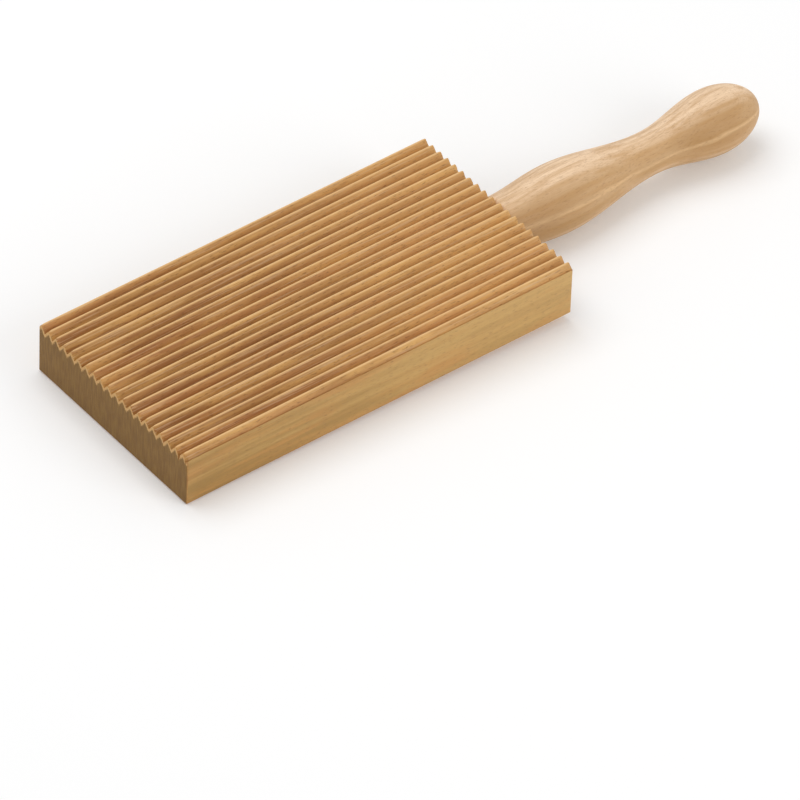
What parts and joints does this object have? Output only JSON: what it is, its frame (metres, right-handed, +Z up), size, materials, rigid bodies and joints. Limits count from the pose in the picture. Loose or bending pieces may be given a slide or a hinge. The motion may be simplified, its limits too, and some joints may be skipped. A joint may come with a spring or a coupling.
{
  "type": "gnocchi board",
  "caption": "Hand-held ridged wooden board with a turned handle, for rolling gnocchi and other small pasta into grooved shapes.",
  "frame": {"origin": "on the flat underside of the ridged block, midway along its length and its width", "axes": "+X from the block towards the free end of the handle, along the ridges and the grain; +Z up, away from the underside and out of the ridged face; +Y to the left of someone who looks along +X"},
  "size_m": [0.2, 0.06, 0.0181],
  "materials": {
    "board_beech": "oiled golden-brown beech, satin, grain along X",
    "handle_beech": "sanded pale beech, matt, grain along X"
  },
  "bodies": {
    "root": {"board": "board_beech", "handle": "handle_beech"}
  },
  "joints": []
}
